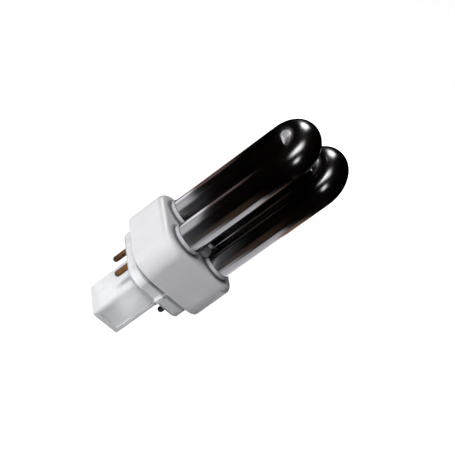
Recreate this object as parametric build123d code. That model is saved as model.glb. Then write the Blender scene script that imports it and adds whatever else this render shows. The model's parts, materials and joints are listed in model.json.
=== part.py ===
from build123d import *
import os

# Plug-in ultraviolet lamp with two U-bent glass tubes, standing upright on the end of its key post.
# X joins the two legs of one U, Y runs from one U to the other, Z is the lamp's axis.

# Contact pins, on the standard four-pin pattern that sets the lamp's scale
pin_pitch_x = 8.0
pin_pitch_y = 22.6
pin_diameter = 2.2
pin_length = 6.7
pin_shoulder = 0.2
pin_head = 0.6

# Key post, a hollow rectangular moulding with a sunk panel on each wide side
post_width = 15.4
post_depth = 12.8
post_length = 22.2
post_corner = 1.0
post_wall = 1.4
post_end_wall = 1.6
post_end_radius = 0.5
panel_border = 1.9
panel_sink = 0.5
panel_corner = 0.9

# Base rim, whose underside seats on the lamp holder
rim_width = 28.3
rim_margin = 0.5
rim_corner = 5.4
rim_height = 5.7
rim_edge_radius = 0.4
groove_height = 1.2
groove_depth = 0.3
key_rib_width = 1.8
key_rib_rise = 1.4

# Shoulder of the base, which closes the collar from below
shoulder_thickness = 1.6
shoulder_clearance = 0.1

# Collar, a rounded cup that stands out around the tubes, with the front plate that they pass through
collar_margin_x = 3.5
collar_margin_y = 4.3
collar_corner = 8.4
collar_height = 15.4
collar_wall = 1.6
collar_ledge = 0.8
collar_front_wall = 1.8
collar_front_radius = 2.0
collar_base_radius = 0.6
tube_hole_clearance = 0.5

# Discharge tube: two U-bends and the bridge that joins them
tube_diameter = 11.2
leg_pitch_x = 13.8
leg_pitch_y = 15.2
leg_straight = 45.7
leg_seat = 6.8
leg_end_taper = 2.0
bridge_diameter = 3.8
bridge_gap = 0.1
pinch_width = 6.0
pinch_thickness = 2.2
pinch_length = 2.5

# Lead wires, and the cement bed behind the front plate with the bead that it forms round each tube
wire_diameter = 0.6
wire_pitch = 2.4
wire_bend_radius = 0.9
cement_thickness = 3.0
cement_clearance = 0.1
bead_rise = 2.0
bead_gap = 0.15
bead_edge = 0.12

# Outlines that follow the tubes and the pins
collar_width = leg_pitch_x + tube_diameter + 2 * collar_margin_x
collar_depth = leg_pitch_y + tube_diameter + 2 * collar_margin_y
pin_shank_diameter = pin_diameter + 2 * pin_shoulder
rim_depth = pin_pitch_y + pin_shank_diameter + 2 * rim_margin

# Heights that the pieces share
z_seat = post_length
z_collar_base = z_seat + rim_height
z_shoulder_top = z_collar_base + shoulder_thickness
z_front = z_collar_base + collar_height
z_front_inside = z_front - collar_front_wall
z_leg_end = z_front - leg_seat
z_pinch_end = z_leg_end - pinch_length
z_bend = z_front + leg_straight
z_bead_top = z_front + bead_rise
z_bridge = z_front + bridge_gap + bridge_diameter / 2
z_pin_top = z_shoulder_top + pin_head

# Places that repeat
pin_places = [(i * pin_pitch_x / 2, j * pin_pitch_y / 2) for j in (-1, 1) for i in (-1, 1)]
leg_places = [(i * leg_pitch_x / 2, j * leg_pitch_y / 2) for j in (-1, 1) for i in (-1, 1)]
electrode_x = -leg_pitch_x / 2
bridge_x = leg_pitch_x / 2


def rounded_block(width, depth, corner, low, high):
    """A block with rounded upright edges between two heights."""
    return extrude(Pos(0, 0, low) * RectangleRounded(width, depth, corner), amount=high - low)


def inset_block(width, depth, corner, inset, low, high):
    """The same block with its outline drawn in by an even inset."""
    inner_corner = max(corner - inset, 0.2)
    return rounded_block(width - 2 * inset, depth - 2 * inset, inner_corner, low, high)


def upright_cylinder(x, y, diameter, low, high):
    """A round bar or bore along Z between two heights."""
    return extrude(Pos(x, y, low) * Circle(diameter / 2), amount=high - low)


def edges_at(part, height):
    """The edges that lie in the level plane at a height."""
    return part.edges().filter_by_position(Axis.Z, height - 1e-4, height + 1e-4)


def make_u_bend(y):
    """One U-bent tube with tapered leg ends."""
    left = -leg_pitch_x / 2
    right = leg_pitch_x / 2
    up = Line((left, y, z_leg_end), (left, y, z_bend))
    over = ThreePointArc((left, y, z_bend), (0, y, z_bend + right), (right, y, z_bend))
    down = Line((right, y, z_bend), (right, y, z_leg_end))
    section = Pos(left, y, z_leg_end) * Circle(tube_diameter / 2)
    bend = sweep(section, path=Wire([up, over, down]))
    return chamfer(edges_at(bend, z_leg_end), leg_end_taper)


def make_bridge(diameter):
    """A round bar along the bridge, from the middle of one U-bend to the other."""
    start = Plane(origin=(bridge_x, -leg_pitch_y / 2, z_bridge), z_dir=(0, 1, 0))
    return extrude(start * Circle(diameter / 2), amount=leg_pitch_y)


def make_discharge_tube():
    """Both U-bends, the bridge between them and the pinch seals of the electrode legs."""
    near_y, far_y = -leg_pitch_y / 2, leg_pitch_y / 2
    tube = make_u_bend(near_y) + make_u_bend(far_y) + make_bridge(bridge_diameter)
    pinch = RectangleRounded(pinch_width, pinch_thickness, pinch_thickness * 0.4)
    for y in (near_y, far_y):
        tube += extrude(Pos(electrode_x, y, z_pinch_end) * pinch, amount=pinch_length + leg_end_taper)
    return tube


def make_collar_shell():
    """The rounded cup: front plate, stepped mouth for the shoulder and four tube holes."""
    collar = rounded_block(collar_width, collar_depth, collar_corner, z_collar_base, z_front)
    collar = fillet(edges_at(collar, z_front), collar_front_radius)
    collar = fillet(edges_at(collar, z_collar_base), collar_base_radius)
    outline = (collar_width, collar_depth, collar_corner)
    collar -= inset_block(*outline, collar_wall, z_collar_base, z_shoulder_top)
    collar -= inset_block(*outline, collar_wall + collar_ledge, z_shoulder_top, z_front_inside)
    for x, y in leg_places:
        collar -= upright_cylinder(x, y, tube_diameter + 2 * tube_hole_clearance, z_front_inside, z_front)
    return collar


def make_key_rib(side):
    """The upright rib in the middle of one side of the rim, with its outer edges rounded."""
    reach = rim_width / 2 + key_rib_rise
    depth = key_rib_rise + groove_depth + rim_edge_radius
    middle = side * (reach - depth / 2)
    rib = extrude(Pos(middle, 0, z_seat) * Rectangle(depth, key_rib_width), amount=rim_height)
    outer = rib.edges().filter_by(Axis.Z).group_by(Axis.X)[-1 if side > 0 else 0]
    return fillet(outer, key_rib_width * 0.25)


def make_panel_sink(side):
    """The shallow panel that is sunk into one wide side of the post."""
    face = Plane(origin=(side * post_width / 2, 0, post_length / 2), x_dir=(0, 1, 0), z_dir=(side, 0, 0))
    panel = RectangleRounded(post_depth - 2 * panel_border, post_length - 2 * panel_border, panel_corner)
    return extrude(face * panel, amount=-panel_sink)


def make_base_cap():
    """Post, seating rim, neck groove, key ribs and shoulder in one moulding, bored for the pins."""
    post = rounded_block(post_width, post_depth, post_corner, 0, z_seat)
    post = fillet(edges_at(post, 0), post_end_radius)
    rim = rounded_block(rim_width, rim_depth, rim_corner, z_seat, z_collar_base - groove_height)
    rim = fillet(edges_at(rim, z_seat), rim_edge_radius)
    neck = inset_block(rim_width, rim_depth, rim_corner, groove_depth, z_seat, z_collar_base)
    inset = collar_wall + shoulder_clearance
    shoulder = inset_block(collar_width, collar_depth, collar_corner, inset, z_collar_base, z_shoulder_top)
    cap = post + rim + neck + shoulder
    for side in (-1, 1):
        cap += make_key_rib(side)
        cap -= make_panel_sink(side)
    hollow = post_wall + panel_sink
    cap -= inset_block(post_width, post_depth, post_corner, hollow, post_end_wall, z_shoulder_top)
    for x, y in pin_places:
        cap -= upright_cylinder(x, y, pin_shank_diameter, z_seat, z_shoulder_top)
    return cap


def make_contact_pin(x, y):
    """One brass pin: a thicker shank pressed through the base, and a domed contact below the seat."""
    contact = upright_cylinder(x, y, pin_diameter, z_seat - pin_length, z_seat)
    contact = fillet(edges_at(contact, z_seat - pin_length), pin_diameter * 0.46)
    return contact + upright_cylinder(x, y, pin_shank_diameter, z_seat, z_pin_top)


def make_lead_wire(x, y):
    """One wire from the pinch seal nearest to a pin down to the top of that pin."""
    pinch_x = electrode_x + (wire_pitch / 2 if x > 0 else -wire_pitch / 2)
    pinch_y = leg_pitch_y / 2 if y > 0 else -leg_pitch_y / 2
    z_run = (z_pinch_end + z_pin_top) / 2
    start, turn = (pinch_x, pinch_y, z_pinch_end), (pinch_x, pinch_y, z_run)
    drop, end = (x, y, z_run), (x, y, z_pin_top)
    path = FilletPolyline(start, turn, drop, end, radius=wire_bend_radius)
    section = Plane(origin=start, z_dir=(0, 0, -1)) * Circle(wire_diameter / 2)
    return sweep(section, path=path)


def make_cement_bead(x, y):
    """The cement sleeve that passes through a tube hole and thins out round the tube."""
    foot = tube_diameter / 2 + tube_hole_clearance - bead_gap
    brim = tube_diameter / 2 + cement_clearance + bead_edge
    bead = Pos(x, y, z_front + bead_rise / 2) * Cone(foot, brim, bead_rise)
    return bead + upright_cylinder(x, y, 2 * foot, z_front_inside, z_front)


def make_basing_cement():
    """The bed under the front plate, with a bead round each leg and room for the bridge."""
    inset = collar_wall + collar_ledge + cement_clearance
    low = z_front_inside - cement_thickness
    cement = inset_block(collar_width, collar_depth, collar_corner, inset, low, z_front_inside)
    for x, y in leg_places:
        cement += make_cement_bead(x, y)
    for x, y in leg_places:
        cement -= upright_cylinder(x, y, tube_diameter + 2 * cement_clearance, low, z_bead_top)
    bridge_room = make_bridge(bridge_diameter + 2 * cement_clearance)
    return cement - bridge_room


pieces = {
    "discharge_tube": make_discharge_tube(),
    "collar_shell": make_collar_shell(),
    "base_cap": make_base_cap(),
    "basing_cement": make_basing_cement(),
}
for number, (x, y) in enumerate(pin_places, start=1):
    pieces[f"contact_pin_{number}"] = make_contact_pin(x, y)
    pieces[f"lead_wire_{number}"] = make_lead_wire(x, y)

os.makedirs("parts", exist_ok=True)
for name, piece in pieces.items():
    export_step(piece, f"parts/{name}.step")
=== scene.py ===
import bpy
import json
import math
from mathutils import Matrix, Vector


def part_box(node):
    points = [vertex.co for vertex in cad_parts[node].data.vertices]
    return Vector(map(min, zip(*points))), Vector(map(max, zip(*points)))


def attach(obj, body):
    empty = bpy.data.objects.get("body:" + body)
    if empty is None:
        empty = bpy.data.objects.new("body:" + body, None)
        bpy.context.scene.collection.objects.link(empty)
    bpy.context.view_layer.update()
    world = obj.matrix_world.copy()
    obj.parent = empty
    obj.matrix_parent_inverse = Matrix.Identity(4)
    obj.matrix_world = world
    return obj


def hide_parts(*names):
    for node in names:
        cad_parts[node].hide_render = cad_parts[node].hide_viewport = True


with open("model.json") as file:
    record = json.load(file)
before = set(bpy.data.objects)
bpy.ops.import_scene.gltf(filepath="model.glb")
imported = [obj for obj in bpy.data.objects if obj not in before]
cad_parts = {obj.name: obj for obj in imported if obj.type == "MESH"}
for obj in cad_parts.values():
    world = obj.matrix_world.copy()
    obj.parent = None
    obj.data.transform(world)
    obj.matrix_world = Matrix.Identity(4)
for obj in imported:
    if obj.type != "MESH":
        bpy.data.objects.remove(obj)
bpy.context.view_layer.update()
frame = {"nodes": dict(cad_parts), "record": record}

# Sizes of the glass in metres, the same as its solid has
tube_diameter = 0.0112
leg_taper = 0.002
bridge_diameter = 0.0038
bridge_gap = 0.0001
pinch_width = 0.006
pinch_thickness = 0.0022
pinch_length = 0.0025
pinch_corner_share = 0.4

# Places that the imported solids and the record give
collar_low, collar_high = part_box("collar_shell")
tube_low, tube_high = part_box("discharge_tube")
mount_places = {mount["name"]: Vector(mount["pos_m"]) for mount in frame["record"]["mounts"]}
seat_height = mount_places["seating_face"].z
tube_radius = tube_diameter / 2
leg_pitch = tube_high.x - tube_low.x - tube_diameter
bend_pitch = tube_high.y - tube_low.y - tube_diameter
bend_height = tube_high.z - leg_pitch / 2 - tube_radius
leg_end_height = tube_low.z + pinch_length
bridge_height = collar_high.z + bridge_gap + bridge_diameter / 2
bridge_end = bend_pitch / 2 - tube_radius

# Painted shade on the plastic: round the tubes' roots, under the collar, on the rim and round the post's
# panels
post_depth = 0.0128
panel_border = 0.0019
root_shade_width = 0.0020
groove_shade_depth = 0.0017
rim_edge_shade_depth = 0.0005
panel_shade_width = 0.00006
panel_shade_share = 0.4
panel_shade_fade = 0.0001
shade_fade = 0.0004

# Painted shade on the rim, which darkens towards the sides where the pins are
rim_shade_share = 0.03
pin_side_shade_share = 0.45
pin_side_start = 0.0110
pin_side_end = 0.0129

# Painted shade at the foot of the cement beads and on the pins of the +Y side
bead_shade_height = 0.0006
bead_shade_fade = 0.0004
pin_shade_start = -0.002
pin_shade_end = 0.006

# How softly the glass changes to the painted grey reflection on its bridge and to the duller gloss of its
# bends
bridge_reflection_fade = 0.0006
bend_blur_fade = 0.004

# How finely the tubes are drawn, and how the points of a leg crowd towards its end
path_points = 121
leg_share = 0.2
leg_crowding = 2.0
ring_points = 72
bridge_ring_points = 40
pinch_corner_points = 6
crease_angle = math.radians(30)

# Angles in degrees
full_turn = 360
straight_up = 90

# The values between which most of the noise lies
noise_low = 0.3
noise_high = 0.7

# The photograph's viewpoint, measured from the lamp's own axes
photo_side = 455
focal_pixels = 1475
sensor_width = 36
camera_turn = math.radians(35.87)
camera_rise = math.radians(17.96)
camera_bearing = math.radians(55.73)
camera_distance = 0.5
camera_aim = Vector((0, 0, 0.06172))
camera_aim_left = 0.00382
camera_aim_down = 0.00543

# Boards that the gloss shows: their heights, distances and soft edges
floor_board_lift = 0.001
patch_near_fade = 0.004
window_distance = 0.5
window_edge = 1.0
window_core = 0.15

# Colours of the pieces, as linear light
glass_black = (0.0004, 0.0003, 0.0003, 1)
glass_brown = (0.0022, 0.0012, 0.0009, 1)
# The bridge's grey is a painted reflection
bridge_painted_reflection = (0.22, 0.22, 0.235, 1)
collar_white = (0.80, 0.80, 0.815, 1)
collar_shade = (0.75, 0.75, 0.775, 1)
post_white = (0.92, 0.935, 0.94, 1)
post_shade = (0.86, 0.885, 0.89, 1)
# Grey of the painted shade on the plastic
plastic_painted_shade = (0.20, 0.20, 0.215, 1)
brass_bright = (0.085, 0.042, 0.014, 1)
brass_tarnish = (0.022, 0.011, 0.006, 1)
# Near black of the painted shade on the +Y side's pins
brass_painted_shade = (0.010, 0.010, 0.010, 1)
cement_pale = (0.60, 0.59, 0.64, 1)
cement_dark = (0.48, 0.475, 0.51, 1)
# Dark of the painted shade at the beads' feet
cement_painted_shade = (0.10, 0.10, 0.11, 1)
wire_bright = (0.60, 0.59, 0.57, 1)
wire_dull = (0.33, 0.32, 0.31, 1)

# Colours of the studio
floor_pale = (0.55, 0.55, 0.55, 1)
white = (1, 1, 1, 1)
black = (0, 0, 0, 1)
board_pale = (0.985, 0.97, 1.04, 1)
board_pink = (1.0, 0.70, 0.72, 1)
board_brown = (1.0, 0.62, 0.42, 1)


def add_node(tree, kind, inputs=None, **settings):
    """A node with its settings made, and its inputs set to values or linked to other nodes' sockets."""
    node = tree.nodes.new(kind)
    for name, value in settings.items():
        setattr(node, name, value)
    for name, value in (inputs or {}).items():
        if isinstance(value, bpy.types.NodeSocket):
            tree.links.new(value, node.inputs[name])
        else:
            node.inputs[name].default_value = value
    return node


def calculate(tree, operation, *values, clamp=False):
    """The result of one Math node."""
    inputs = dict(enumerate(values))
    return add_node(tree, "ShaderNodeMath", inputs, operation=operation, use_clamp=clamp).outputs[0]


def rescale(tree, value, start, end, low, high):
    """A value brought from one range into another."""
    inputs = {"Value": value, "From Min": start, "From Max": end, "To Min": low, "To Max": high}
    return add_node(tree, "ShaderNodeMapRange", inputs).outputs[0]


def fade_between(tree, value, clear, full):
    """Nothing where a value is clear, one where it is full, and a soft edge between."""
    inputs = {"Value": value, "From Min": clear, "From Max": full}
    return add_node(tree, "ShaderNodeMapRange", inputs, interpolation_type="SMOOTHSTEP").outputs[0]


def band(tree, value, low, high, fade):
    """One between two values, with soft edges."""
    above = fade_between(tree, value, low - fade, low)
    below = fade_between(tree, value, high + fade, high)
    return calculate(tree, "MULTIPLY", above, below)


def beyond(tree, value, half):
    """How far a coordinate lies outside a half width, on either side of the axis."""
    return calculate(tree, "SUBTRACT", calculate(tree, "ABSOLUTE", value), half)


def place_at(tree, **coordinates):
    """A point or offset from the coordinates that are named, with the others at nothing."""
    return add_node(tree, "ShaderNodeCombineXYZ", coordinates).outputs[0]


def axes_of(tree, vector):
    """The X, Y and Z of a vector, by name."""
    return add_node(tree, "ShaderNodeSeparateXYZ", {"Vector": vector}).outputs


def length_of(tree, vector):
    """How long a vector is."""
    return add_node(tree, "ShaderNodeVectorMath", {0: vector}, operation="LENGTH").outputs["Value"]


def object_place(tree):
    """The piece's own coordinates."""
    return add_node(tree, "ShaderNodeTexCoord").outputs["Object"]


def object_noise(tree, scale, stretch=(1, 1, 1), detail=3.0):
    """Noise on the piece's own coordinates, drawn out along an axis where its stretch is below 1."""
    mapping = {"Vector": object_place(tree), "Scale": stretch}
    drawn = add_node(tree, "ShaderNodeMapping", mapping).outputs[0]
    inputs = {"Vector": drawn, "Scale": scale, "Detail": detail}
    return add_node(tree, "ShaderNodeTexNoise", inputs).outputs[0]


def blend_colours(tree, factor, first, second, low=0.35, high=0.65):
    """A colour ramp between two tones."""
    ramp = add_node(tree, "ShaderNodeValToRGB", {"Fac": factor})
    ramp.color_ramp.elements[0].position = low
    ramp.color_ramp.elements[0].color = first
    ramp.color_ramp.elements[1].position = high
    ramp.color_ramp.elements[1].color = second
    return ramp.outputs[0]


def cover(tree, share, clean, soiled):
    """A clean colour that turns to a soiled one by a share. Sockets 6 and 7 are the Mix node's colours."""
    inputs = {0: share, 6: clean, 7: soiled}
    return add_node(tree, "ShaderNodeMix", inputs, data_type="RGBA").outputs[2]


def change_over(tree, share, first, second):
    """A number that turns to another by a share. Sockets 2 and 3 are the Mix node's numbers."""
    return add_node(tree, "ShaderNodeMix", {0: share, 2: first, 3: second}).outputs[0]


def spread(tree, noise, low, high):
    """Noise brought into a range of values."""
    return rescale(tree, noise, noise_low, noise_high, low, high)


def bump(tree, height, strength, distance):
    """A bump normal from a height."""
    inputs = {"Height": height, "Strength": strength, "Distance": distance}
    return add_node(tree, "ShaderNodeBump", inputs).outputs[0]


def glow_shader(tree, colour, strength):
    """The shader of a surface that gives off light."""
    return add_node(tree, "ShaderNodeEmission", {"Color": colour, "Strength": strength}).outputs[0]


def new_material(name):
    """An empty node material with its output node."""
    material = bpy.data.materials.new(name)
    material.use_nodes = True
    tree = material.node_tree
    tree.nodes.clear()
    return material, tree, add_node(tree, "ShaderNodeOutputMaterial")


def finish_surface(tree, output, **inputs):
    """The shader of a piece's surface, whose inputs are given with underscores for spaces."""
    named = {name.replace("_", " "): value for name, value in inputs.items()}
    shader = add_node(tree, "ShaderNodeBsdfPrincipled", named)
    tree.links.new(shader.outputs[0], output.inputs["Surface"])


def link_object(name, data):
    """A new object in the scene, at the origin."""
    made = bpy.data.objects.new(name, data)
    bpy.context.scene.collection.objects.link(made)
    return made


def draw_lines(tree, round_scale, along_scale):
    """Fine lines along the bent tubes, from the values that the tubes carry round and along them."""
    turn = add_node(tree, "ShaderNodeAttribute", attribute_name="round").outputs["Fac"]
    along = add_node(tree, "ShaderNodeAttribute", attribute_name="drawn").outputs["Fac"]
    angle = calculate(tree, "MULTIPLY", turn, 2 * math.pi)
    across = calculate(tree, "MULTIPLY", calculate(tree, "COSINE", angle), round_scale)
    upward = calculate(tree, "MULTIPLY", calculate(tree, "SINE", angle), round_scale)
    onward = calculate(tree, "MULTIPLY", along, along_scale)
    inputs = {"Vector": place_at(tree, X=across, Y=upward, Z=onward), "Scale": 1.0, "Detail": 2.0}
    return add_node(tree, "ShaderNodeTexNoise", inputs).outputs[0]


def make_dark_glass():
    """Nearly black drawn glass: brown clouds, faint draw lines, duller bends and a bridge coloured grey as
    a painted reflection.
    """
    material, tree, output = new_material("dark_glass")
    place = axes_of(tree, object_place(tree))
    clouds = object_noise(tree, scale=90, stretch=(1, 1, 0.4))
    clear = blend_colours(tree, clouds, glass_black, glass_brown)
    sideways = calculate(tree, "ABSOLUTE", place["Y"])
    on_bridge = fade_between(tree, sideways, bridge_end, bridge_end - bridge_reflection_fade)
    lines = draw_lines(tree, round_scale=14.0, along_scale=5.0)
    on_bend = fade_between(tree, place["Z"], bend_height - bend_blur_fade, bend_height + bend_blur_fade)
    leg_roughness = spread(tree, lines, low=0.06, high=0.1)
    bend_roughness = spread(tree, lines, low=0.18, high=0.22)
    finish_surface(
        tree,
        output,
        Base_Color=cover(tree, on_bridge, clear, bridge_painted_reflection),
        Roughness=change_over(tree, on_bend, leg_roughness, bend_roughness),
        Normal=bump(tree, lines, strength=0.04, distance=0.0001),
        IOR=1.52,
        Specular_IOR_Level=1.0,
    )
    return material


def root_painted_shade(tree):
    """A ring of painted shade on the front plate round each tube."""
    place = axes_of(tree, object_place(tree))
    across = beyond(tree, place["X"], leg_pitch / 2)
    along = beyond(tree, place["Y"], bend_pitch / 2)
    away = length_of(tree, place_at(tree, X=across, Y=along))
    ring = fade_between(tree, away, tube_radius + root_shade_width, tube_radius + root_shade_width / 2)
    on_plate = fade_between(tree, place["Z"], collar_high.z - 2 * shade_fade, collar_high.z - shade_fade)
    return calculate(tree, "MULTIPLY", ring, on_plate)


def panel_painted_shade(tree, place):
    """A faint line of painted shade along the edges of the post's sunk panels."""
    across = beyond(tree, place["Y"], post_depth / 2 - panel_border)
    from_middle = calculate(tree, "SUBTRACT", place["Z"], seat_height / 2)
    along = beyond(tree, from_middle, seat_height / 2 - panel_border)
    outside = calculate(tree, "MAXIMUM", across, along)
    edge = band(tree, outside, -panel_shade_width, panel_shade_width, panel_shade_fade)
    on_post = fade_between(tree, place["Z"], seat_height, seat_height - shade_fade)
    line = calculate(tree, "MULTIPLY", edge, on_post)
    return calculate(tree, "MULTIPLY", line, panel_shade_share)


def rim_painted_shade(tree, place):
    """Painted shade on the rim, darker on the sides where the pins are."""
    on_rim = band(tree, place["Z"], seat_height, collar_low.z, shade_fade)
    sideways = calculate(tree, "ABSOLUTE", place["Y"])
    share = rescale(tree, sideways, pin_side_start, pin_side_end, rim_shade_share, pin_side_shade_share)
    return calculate(tree, "MULTIPLY", on_rim, share)


def base_painted_shade(tree):
    """Painted shade in the groove under the collar, on the rim and along the edges of the post's panels."""
    place = axes_of(tree, object_place(tree))
    groove = band(tree, place["Z"], collar_low.z - groove_shade_depth, collar_low.z, shade_fade)
    rim_edge = band(tree, place["Z"], seat_height, seat_height + rim_edge_shade_depth, shade_fade)
    most = groove
    for layer in (rim_edge, rim_painted_shade(tree, place), panel_painted_shade(tree, place)):
        most = calculate(tree, "MAXIMUM", most, layer)
    return most


def make_moulded_plastic(name, pale, shade, smoothest, roughest, gloss, painted_shade):
    """White moulded plastic: faint flow clouds, painted shade along its seams, a fine grain and an uneven
    gloss.
    """
    material, tree, output = new_material(name)
    clouds = object_noise(tree, scale=110)
    grain = object_noise(tree, scale=2600, detail=2.0)
    clean = blend_colours(tree, clouds, shade, pale, low=0.25, high=0.6)
    uneven = spread(tree, object_noise(tree, scale=160), low=0.4, high=0.9)
    # The mask paints shade into the plastic's colour
    share = calculate(tree, "MULTIPLY", painted_shade(tree), uneven)
    finish_surface(
        tree,
        output,
        Base_Color=cover(tree, share, clean, plastic_painted_shade),
        Roughness=spread(tree, clouds, smoothest, roughest),
        Normal=bump(tree, grain, strength=0.06, distance=0.00005),
        IOR=1.5,
        Specular_IOR_Level=gloss,
    )
    return material


def make_brass():
    """Dull brass with brown tarnish, fine turning marks round each pin, and painted shade that blackens the
    pins on one side.
    """
    material, tree, output = new_material("pin_brass")
    place = axes_of(tree, object_place(tree))
    shade_share = fade_between(tree, place["Y"], pin_shade_start, pin_shade_end)
    stains = object_noise(tree, scale=420)
    clean = blend_colours(tree, stains, brass_tarnish, brass_bright)
    turning = object_noise(tree, scale=3000, stretch=(0.05, 0.05, 1), detail=2.0)
    finish_surface(
        tree,
        output,
        Base_Color=cover(tree, shade_share, clean, brass_painted_shade),
        Roughness=spread(tree, stains, low=0.28, high=0.5),
        Normal=bump(tree, turning, strength=0.1, distance=0.00003),
        Metallic=1.0,
    )
    return material


def make_cement():
    """Gritty basing cement, with painted shade where its beads meet the front plate."""
    material, tree, output = new_material("basing_cement")
    place = axes_of(tree, object_place(tree))
    shade_top = collar_high.z + bead_shade_height
    shade_share = fade_between(tree, place["Z"], shade_top + bead_shade_fade, shade_top)
    grit = object_noise(tree, scale=1500, detail=6.0)
    clean = blend_colours(tree, grit, cement_dark, cement_pale)
    finish_surface(
        tree,
        output,
        Base_Color=cover(tree, shade_share, clean, cement_painted_shade),
        Roughness=spread(tree, grit, low=0.75, high=0.95),
        Normal=bump(tree, grit, strength=0.5, distance=0.0001),
    )
    return material


def make_wire_metal():
    """Drawn nickel wire with dull streaks."""
    material, tree, output = new_material("nickel_wire")
    streaks = object_noise(tree, scale=1800, stretch=(1, 1, 0.1))
    finish_surface(
        tree,
        output,
        Base_Color=blend_colours(tree, streaks, wire_dull, wire_bright),
        Roughness=spread(tree, streaks, low=0.25, high=0.4),
        Metallic=1.0,
    )
    return material


def make_collar_plastic():
    """The satin plastic of the collar, with painted shade round the tubes' roots."""
    tones = {"pale": collar_white, "shade": collar_shade}
    finish = {"smoothest": 0.36, "roughest": 0.46, "gloss": 0.35}
    return make_moulded_plastic("collar_plastic", painted_shade=root_painted_shade, **tones, **finish)


def make_base_plastic():
    """The whiter and glossier plastic of the base and its post, with painted shade at its seams, rim and
    panels.
    """
    tones = {"pale": post_white, "shade": post_shade}
    finish = {"smoothest": 0.24, "roughest": 0.34, "gloss": 0.45}
    return make_moulded_plastic("base_plastic", painted_shade=base_painted_shade, **tones, **finish)


def coat_solids():
    """The finish of each solid that stays as it was packed. The tubes are drawn anew, with their own."""
    finishes = {
        "collar_shell": make_collar_plastic(),
        "base_cap": make_base_plastic(),
        "basing_cement": make_cement(),
        "contact_pin": make_brass(),
        "lead_wire": make_wire_metal(),
    }
    for name, solid in frame["nodes"].items():
        for beginning, material in finishes.items():
            if name.startswith(beginning):
                for place in solid.material_slots:
                    place.material = material


def mark(tree, curve, name, value):
    """A curve that carries a named value for the glass to read."""
    inputs = {"Geometry": curve, "Name": name, "Value": value}
    return add_node(tree, "GeometryNodeStoreNamedAttribute", inputs, domain="POINT").outputs[0]


def skin(tree, path, ring, scale=1.0):
    """A closed skin of a ring carried along a path."""
    inputs = {"Curve": path, "Profile Curve": ring, "Scale": scale, "Fill Caps": True}
    return add_node(tree, "GeometryNodeCurveToMesh", inputs).outputs[0]


def straight_path(tree, start, end):
    """A path of one straight line."""
    return add_node(tree, "GeometryNodeCurvePrimitiveLine", {"Start": start, "End": end}).outputs[0]


def round_ring(tree, points, radius):
    """A round outline for a tube."""
    inputs = {"Resolution": points, "Radius": radius}
    return add_node(tree, "GeometryNodeCurvePrimitiveCircle", inputs).outputs[0]


def draw_u_bend(tree, size):
    """One U-bent tube: up a leg, over a half circle and down again, with its ends drawn in."""
    line = add_node(tree, "GeometryNodeCurvePrimitiveLine").outputs[0]
    path = add_node(tree, "GeometryNodeResampleCurve", {"Curve": line, "Count": path_points}).outputs[0]
    step = add_node(tree, "GeometryNodeSplineParameter").outputs["Index"]
    along = calculate(tree, "DIVIDE", step, path_points - 1)
    from_end = calculate(tree, "MINIMUM", along, calculate(tree, "SUBTRACT", 1.0, along))
    on_leg = calculate(tree, "DIVIDE", from_end, leg_share, clamp=True)
    crowded = calculate(tree, "POWER", on_leg, leg_crowding)
    climbed = calculate(tree, "MULTIPLY", crowded, size["Leg Length"])
    turned = rescale(tree, along, leg_share, 1 - leg_share, 0.0, math.pi)
    bend_radius = calculate(tree, "MULTIPLY", size["Leg Pitch"], 0.5)
    across = calculate(tree, "MULTIPLY", calculate(tree, "COSINE", turned), bend_radius)
    arch = calculate(tree, "MULTIPLY", calculate(tree, "SINE", turned), bend_radius)
    height = calculate(tree, "ADD", calculate(tree, "ADD", climbed, arch), size["Leg End Height"])
    bend = {"Geometry": path, "Position": place_at(tree, X=across, Z=height)}
    bent = add_node(tree, "GeometryNodeSetPosition", bend).outputs[0]
    ring = round_ring(tree, ring_points, size["Tube Radius"])
    ring_step = add_node(tree, "GeometryNodeInputIndex").outputs[0]
    marked_path = mark(tree, bent, "drawn", along)
    marked_ring = mark(tree, ring, "round", calculate(tree, "DIVIDE", ring_step, ring_points))
    drawn_in = calculate(tree, "MAXIMUM", calculate(tree, "SUBTRACT", size["Leg Taper"], climbed), 0.0)
    fullness = calculate(tree, "SUBTRACT", 1.0, calculate(tree, "DIVIDE", drawn_in, size["Tube Radius"]))
    return skin(tree, marked_path, marked_ring, fullness)


def draw_pinch_seal(tree, size):
    """The flattened seal under an electrode leg."""
    left = calculate(tree, "MULTIPLY", size["Leg Pitch"], -0.5)
    low = calculate(tree, "SUBTRACT", size["Leg End Height"], size["Pinch Length"])
    high = calculate(tree, "ADD", size["Leg End Height"], size["Leg Taper"])
    path = straight_path(tree, place_at(tree, X=left, Z=low), place_at(tree, X=left, Z=high))
    flat = {"Width": size["Pinch Width"], "Height": size["Pinch Thickness"]}
    outline = add_node(tree, "GeometryNodeCurvePrimitiveQuadrilateral", flat).outputs[0]
    corner = calculate(tree, "MULTIPLY", size["Pinch Thickness"], pinch_corner_share)
    rounding = {"Curve": outline, "Count": pinch_corner_points, "Radius": corner}
    rounded = add_node(tree, "GeometryNodeFilletCurve", rounding, mode="POLY").outputs[0]
    return skin(tree, path, rounded)


def draw_bridge(tree, size):
    """The short tube that joins the two U-bends beside the collar."""
    right = calculate(tree, "MULTIPLY", size["Leg Pitch"], 0.5)
    far = calculate(tree, "MULTIPLY", size["Bend Pitch"], 0.5)
    near = calculate(tree, "MULTIPLY", far, -1.0)
    height = size["Bridge Height"]
    start = place_at(tree, X=right, Y=near, Z=height)
    end = place_at(tree, X=right, Y=far, Z=height)
    ring = round_ring(tree, bridge_ring_points, size["Bridge Radius"])
    return skin(tree, straight_path(tree, start, end), ring)


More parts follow.
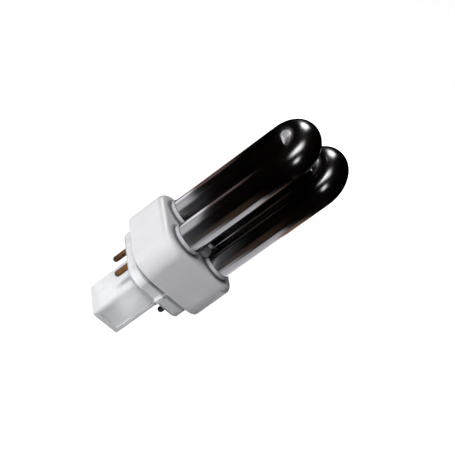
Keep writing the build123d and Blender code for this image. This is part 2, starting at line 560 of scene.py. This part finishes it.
def draw_pair(tree, size, piece):
    """A piece at the places of the two U-bends."""
    near = calculate(tree, "MULTIPLY", size["Bend Pitch"], -0.5)
    first = place_at(tree, Y=near)
    apart = place_at(tree, Y=size["Bend Pitch"])
    row = {"Count": 2, "Start Location": first, "Offset": apart}
    places = add_node(tree, "GeometryNodeMeshLine", row).outputs[0]
    inputs = {"Points": places, "Instance": piece}
    pair = add_node(tree, "GeometryNodeInstanceOnPoints", inputs).outputs[0]
    return add_node(tree, "GeometryNodeRealizeInstances", {"Geometry": pair}).outputs[0]


def join_solids(tree, solids):
    """One skin round several solids."""
    union = add_node(tree, "GeometryNodeMeshBoolean", operation="UNION", solver="EXACT")
    for solid in solids:
        tree.links.new(solid, union.inputs["Mesh 2"])
    return union.outputs[0]


def shade_skin(tree, skin_mesh):
    """Smooth shading, with creases where the faces turn sharply."""
    smooth = add_node(tree, "GeometryNodeSetShadeSmooth", {"Geometry": skin_mesh}, domain="FACE").outputs[0]
    angle = add_node(tree, "GeometryNodeInputMeshEdgeAngle").outputs["Unsigned Angle"]
    turn = {"A": angle, "B": crease_angle}
    sharp = add_node(tree, "FunctionNodeCompare", turn, operation="GREATER_THAN").outputs[0]
    creased = {"Geometry": smooth, "Selection": sharp, "Shade Smooth": False}
    return add_node(tree, "GeometryNodeSetShadeSmooth", creased, domain="EDGE").outputs[0]


def make_tube_tree(names):
    """The node tree that draws the tubes from their named sizes and joins them to one skin."""
    tree = bpy.data.node_groups.new("bent_tubes", "GeometryNodeTree")
    tree.interface.new_socket("Tubes", in_out="OUTPUT", socket_type="NodeSocketGeometry")
    for name in names:
        tree.interface.new_socket(name, in_out="INPUT", socket_type="NodeSocketFloat")
    tree.interface.new_socket("Glass", in_out="INPUT", socket_type="NodeSocketMaterial")
    size = add_node(tree, "NodeGroupInput").outputs
    bends = draw_pair(tree, size, draw_u_bend(tree, size))
    seals = draw_pair(tree, size, draw_pinch_seal(tree, size))
    joined = join_solids(tree, [draw_bridge(tree, size), bends, seals])
    coat = {"Geometry": shade_skin(tree, joined), "Material": size["Glass"]}
    coated = add_node(tree, "GeometryNodeSetMaterial", coat).outputs[0]
    add_node(tree, "NodeGroupOutput", {"Tubes": coated})
    return tree


def make_glass_tubes():
    """The two U-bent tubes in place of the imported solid."""
    tube_sizes = {
        "Leg Pitch": leg_pitch,
        "Bend Pitch": bend_pitch,
        "Tube Radius": tube_radius,
        "Leg Length": bend_height - leg_end_height,
        "Leg End Height": leg_end_height,
        "Leg Taper": leg_taper,
        "Bridge Radius": bridge_diameter / 2,
        "Bridge Height": bridge_height,
        "Pinch Width": pinch_width,
        "Pinch Thickness": pinch_thickness,
        "Pinch Length": pinch_length,
    }
    tree = make_tube_tree(tube_sizes)
    values = {**tube_sizes, "Glass": make_dark_glass()}
    tubes = link_object("glass_tubes", bpy.data.meshes.new("glass_tubes"))
    rule = tubes.modifiers.new("bent_tubes", "NODES")
    rule.node_group = tree
    for entry in tree.interface.items_tree:
        if entry.in_out == "INPUT":
            rule[entry.identifier] = values[entry.name]
    depsgraph = bpy.context.evaluated_depsgraph_get()
    drawn = bpy.data.meshes.new_from_object(tubes.evaluated_get(depsgraph), depsgraph=depsgraph)
    tubes.modifiers.remove(rule)
    tubes.data = drawn
    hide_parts("discharge_tube")
    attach(tubes, "root")


def place_camera():
    """The camera at the photograph's viewpoint, with the lamp's axis turned in the frame."""
    turn_cos, turn_sin = math.cos(camera_turn), math.sin(camera_turn)
    rise_cos, rise_sin = math.cos(camera_rise), math.sin(camera_rise)
    bearing_cos, bearing_sin = math.cos(camera_bearing), math.sin(camera_bearing)
    forward = Vector((-rise_cos * bearing_sin, rise_cos * bearing_cos, -rise_sin))
    level = Vector((bearing_cos, bearing_sin, 0))
    upright = level.cross(forward)
    right = turn_sin * level + turn_cos * upright
    up = turn_sin * upright - turn_cos * level
    lens = bpy.data.cameras.new("photo_camera")
    lens.sensor_width = sensor_width
    lens.lens = focal_pixels / photo_side * sensor_width
    camera = link_object("photo_camera", lens)
    place = camera_aim - camera_distance * forward - camera_aim_left * right - camera_aim_down * up
    camera.matrix_world = Matrix.Translation(place) @ Matrix((right, up, -forward)).transposed().to_4x4()
    bpy.context.scene.camera = camera


def direction(bearing, rise):
    """The unit vector at a bearing from +X and a rise above the floor, in degrees."""
    flat = math.cos(math.radians(rise))
    turned = math.radians(bearing)
    return Vector((flat * math.cos(turned), flat * math.sin(turned), math.sin(math.radians(rise))))


def make_sheet(name, points, faces, material):
    """A stage piece of plain faces with its material."""
    mesh = bpy.data.meshes.new(name)
    mesh.from_pydata(points, [], faces)
    mesh.materials.append(material)
    return link_object(name, mesh)


def only_in_reflections(board):
    """A studio board that the gloss shows, and that neither the camera nor the other light meets."""
    board.visible_camera = False
    board.visible_diffuse = False
    board.visible_shadow = False
    board.visible_transmission = False
    board.visible_volume_scatter = False


def in_view(tree):
    """One for rays from the camera and for what gloss and glass show, otherwise nothing."""
    path = add_node(tree, "ShaderNodeLightPath").outputs
    seen = calculate(tree, "ADD", path["Is Camera Ray"], path["Is Glossy Ray"], clamp=True)
    return calculate(tree, "ADD", seen, path["Is Transmission Ray"], clamp=True)


def make_floor(half_side, glow):
    """A wide pale floor that shows white and keeps the lamp's shadow."""
    material, tree, output = new_material("pale_floor")
    matt = add_node(tree, "ShaderNodeBsdfDiffuse", {"Color": floor_pale}).outputs[0]
    light = glow_shader(tree, white, calculate(tree, "MULTIPLY", in_view(tree), glow))
    both = add_node(tree, "ShaderNodeAddShader", {0: matt, 1: light}).outputs[0]
    tree.links.new(both, output.inputs["Surface"])
    corners = [(-half_side, -half_side, 0), (half_side, -half_side, 0)]
    corners += [(half_side, half_side, 0), (-half_side, half_side, 0)]
    floor = make_sheet("floor", corners, [(0, 1, 2, 3)], material)


def make_world(ambient):
    """Even light from all round, and white where it is seen."""
    world = bpy.data.worlds.new("studio")
    world.use_nodes = True
    tree = world.node_tree
    tree.nodes.clear()
    strength = rescale(tree, in_view(tree), 0.0, 1.0, ambient, 1.0)
    sky = add_node(tree, "ShaderNodeBackground", {"Color": white, "Strength": strength}).outputs[0]
    output = add_node(tree, "ShaderNodeOutputWorld")
    tree.links.new(sky, output.inputs["Surface"])
    bpy.context.scene.world = world


def make_softbox(name, bearing, rise, distance, width, height, power, target_height):
    """A soft lamp that looks at a point on the lamp's axis, and that the gloss doesn't show."""
    light = bpy.data.lights.new(name, "AREA")
    light.shape = "RECTANGLE"
    light.size = width
    light.size_y = height
    light.energy = power
    target = Vector((0, 0, target_height))
    place = target + distance * direction(bearing, rise)
    facing = (place - target).to_track_quat("Z", "Y")
    box = link_object(name, light)
    box.matrix_world = Matrix.Translation(place) @ facing.to_matrix().to_4x4()
    box.visible_camera = False
    box.visible_glossy = False


def make_black_canopy(radius, rings=12, sides=32):
    """A black half dome over the lamp, which keeps the bends of the tubes dark."""
    material, tree, output = new_material("black_cloth")
    tree.links.new(glow_shader(tree, black, 0.0), output.inputs["Surface"])
    points = [(0, 0, radius)]
    for ring in range(1, rings + 1):
        rise = straight_up - straight_up * ring / rings
        points += [radius * direction(full_turn * side / sides, rise) for side in range(sides)]
    faces = [(0, 1 + (side + 1) % sides, 1 + side) for side in range(sides)]
    for ring in range(rings - 1):
        first = 1 + ring * sides
        for side in range(sides):
            after = (side + 1) % sides
            faces.append((first + side, first + after, first + sides + after, first + sides + side))
    only_in_reflections(make_sheet("black_canopy", points, faces, material))


def lit_patch(tree, bearing, half_width, soft_side, near, far, fade, glow, colour=board_pale):
    """One lit patch of the floor board: a sector with soft sides, between two distances from the axis."""
    place = object_place(tree)
    turn = {"Vector": place, "Rotation": (0, 0, math.radians(-bearing))}
    turned = axes_of(tree, add_node(tree, "ShaderNodeMapping", turn).outputs[0])
    angle = calculate(tree, "ABSOLUTE", calculate(tree, "ARCTAN2", turned["Y"], turned["X"]))
    away = length_of(tree, place)
    dark_angle = math.radians(half_width + soft_side / 2)
    lit_angle = math.radians(half_width - soft_side / 2)
    lit = calculate(tree, "MULTIPLY", glow, fade_between(tree, angle, dark_angle, lit_angle))
    far_end = fade_between(tree, away, far + fade / 2, far - fade / 2)
    near_end = fade_between(tree, away, near - patch_near_fade, near + patch_near_fade)
    for share in (far_end, near_end):
        lit = calculate(tree, "MULTIPLY", lit, share)
    return glow_shader(tree, colour, lit)


def make_floor_board(inner, outer, patches, sides=96):
    """A flat black ring round the lamp, with lit patches that the straight legs mirror as light strips."""
    material, tree, output = new_material("lit_board")
    total = lit_patch(tree, **patches[0])
    for patch in patches[1:]:
        layers = {0: total, 1: lit_patch(tree, **patch)}
        total = add_node(tree, "ShaderNodeAddShader", layers).outputs[0]
    tree.links.new(total, output.inputs["Surface"])
    points = []
    for radius in (inner, outer):
        for side in range(sides):
            spot = radius * direction(full_turn * side / sides, 0)
            points.append((spot.x, spot.y, floor_board_lift))
    faces = []
    for side in range(sides):
        after = (side + 1) % sides
        faces.append((side, sides + side, sides + after, after))
    only_in_reflections(make_sheet("floor_board", points, faces, material))


def make_window_board(name, bearing, rise, width, height, glow):
    """A bright board with soft edges that faces the bends and shows in the gloss as a highlight."""
    bends = Vector((0, 0, bend_height))
    centre = bends + window_distance * direction(bearing, rise)
    facing = (centre - bends).to_track_quat("Z", "Y")
    half = Vector((width / 2, height / 2, 1))
    material, tree, output = new_material(name)
    own = {"Vector": object_place(tree), "Location": centre, "Rotation": facing.to_euler(), "Scale": half}
    spot = axes_of(tree, add_node(tree, "ShaderNodeMapping", own, vector_type="TEXTURE").outputs[0])
    lit = glow
    for axis in ("X", "Y"):
        from_centre = calculate(tree, "ABSOLUTE", spot[axis])
        lit = calculate(tree, "MULTIPLY", lit, fade_between(tree, from_centre, window_edge, window_core))
    tree.links.new(glow_shader(tree, white, lit), output.inputs["Surface"])
    signs = [(-1, -1), (1, -1), (1, 1), (-1, 1)]
    corners = [centre + facing @ (half * Vector((x, y, 0))) for x, y in signs]
    only_in_reflections(make_sheet(name, corners, [(0, 1, 2, 3)], material))


def light_softly():
    """The soft lamps: a key from the left, a fill from the camera and one from behind."""
    common = {"distance": 0.6, "width": 0.2, "target_height": 0.03}
    make_softbox("key_softbox", bearing=-80, rise=26, height=0.32, power=2.2, **common)
    make_softbox("fill_softbox", bearing=-34, rise=26, height=0.12, power=0.84, **common)
    make_softbox("rear_softbox", bearing=146, rise=6, height=0.12, power=1.4, **common)


def light_gloss():
    """The boards that the glass and the plastic mirror. Bearings are in degrees, distances in metres."""
    make_black_canopy(radius=0.9)
    # Strips along the right of the near legs, which end below the bends
    leg_strips = [
        dict(bearing=55, half_width=17, soft_side=10, near=0.125, far=0.256, fade=0.025, glow=3.1),
        dict(bearing=29, half_width=12, soft_side=16, near=0.125, far=0.175, fade=0.07, glow=2.5),
        dict(bearing=108, half_width=36, soft_side=20, near=0.125, far=0.237, fade=0.03, glow=2.6),
    ]
    # Light on the left of the legs' roots, and a little of it all round
    root_light = [
        dict(bearing=-122, half_width=42, soft_side=12, near=0.125, far=0.168, fade=0.02, glow=2.4),
        dict(bearing=-96, half_width=24, soft_side=16, near=0.125, far=0.166, fade=0.02, glow=1.5),
        dict(bearing=-152, half_width=13, soft_side=10, near=0.125, far=0.168, fade=0.02, glow=1.8),
        dict(bearing=0, half_width=181, soft_side=1, near=0.0, far=0.168, fade=0.05, glow=0.34),
    ]
    # Sheen on the collar and the post
    plastic_sheen = [
        dict(bearing=-120, half_width=44, soft_side=16, near=0.045, far=0.125, fade=0.01, glow=2.8),
        dict(bearing=-105, half_width=40, soft_side=20, near=0.0, far=0.04, fade=0.02, glow=2.4),
        dict(bearing=5, half_width=40, soft_side=20, near=0.0, far=0.055, fade=0.02, glow=1.7),
        dict(bearing=22, half_width=7, soft_side=8, near=0.024, far=0.046, fade=0.012, glow=9.0),
        dict(bearing=-38, half_width=48, soft_side=24, near=0.05, far=0.13, fade=0.02, glow=6.0),
    ]
    # Tinted edges further up the legs
    brown_edges = [
        dict(bearing=163, half_width=14, soft_side=10, near=0.16, far=0.26, fade=0.08, glow=0.6),
        dict(bearing=112, half_width=44, soft_side=20, near=0.225, far=0.295, fade=0.06, glow=0.8),
        dict(bearing=10, half_width=20, soft_side=20, near=0.15, far=0.25, fade=0.06, glow=0.3),
        dict(bearing=-187, half_width=9, soft_side=8, near=0.15, far=0.275, fade=0.08, glow=0.8),
    ]
    pink_edges = [
        dict(bearing=-150, half_width=14, soft_side=12, near=0.15, far=0.245, fade=0.07, glow=0.6),
    ]
    patches = leg_strips + root_light + plastic_sheen
    patches += [{**patch, "colour": board_brown} for patch in brown_edges]
    patches += [{**patch, "colour": board_pink} for patch in pink_edges]
    make_floor_board(inner=0.01, outer=1.2, patches=patches)
    make_window_board("key_window", bearing=-80, rise=23, width=0.34, height=0.56, glow=12.0)
    make_window_board("back_window", bearing=-156, rise=28, width=0.3, height=0.34, glow=14.0)
    make_window_board("front_window", bearing=-28, rise=15, width=0.24, height=0.24, glow=11.0)


place_camera()
make_floor(half_side=4.0, glow=0.965)
make_world(ambient=0.03)
light_softly()
light_gloss()
coat_solids()
make_glass_tubes()

bpy.context.scene.view_settings.view_transform = "Standard"
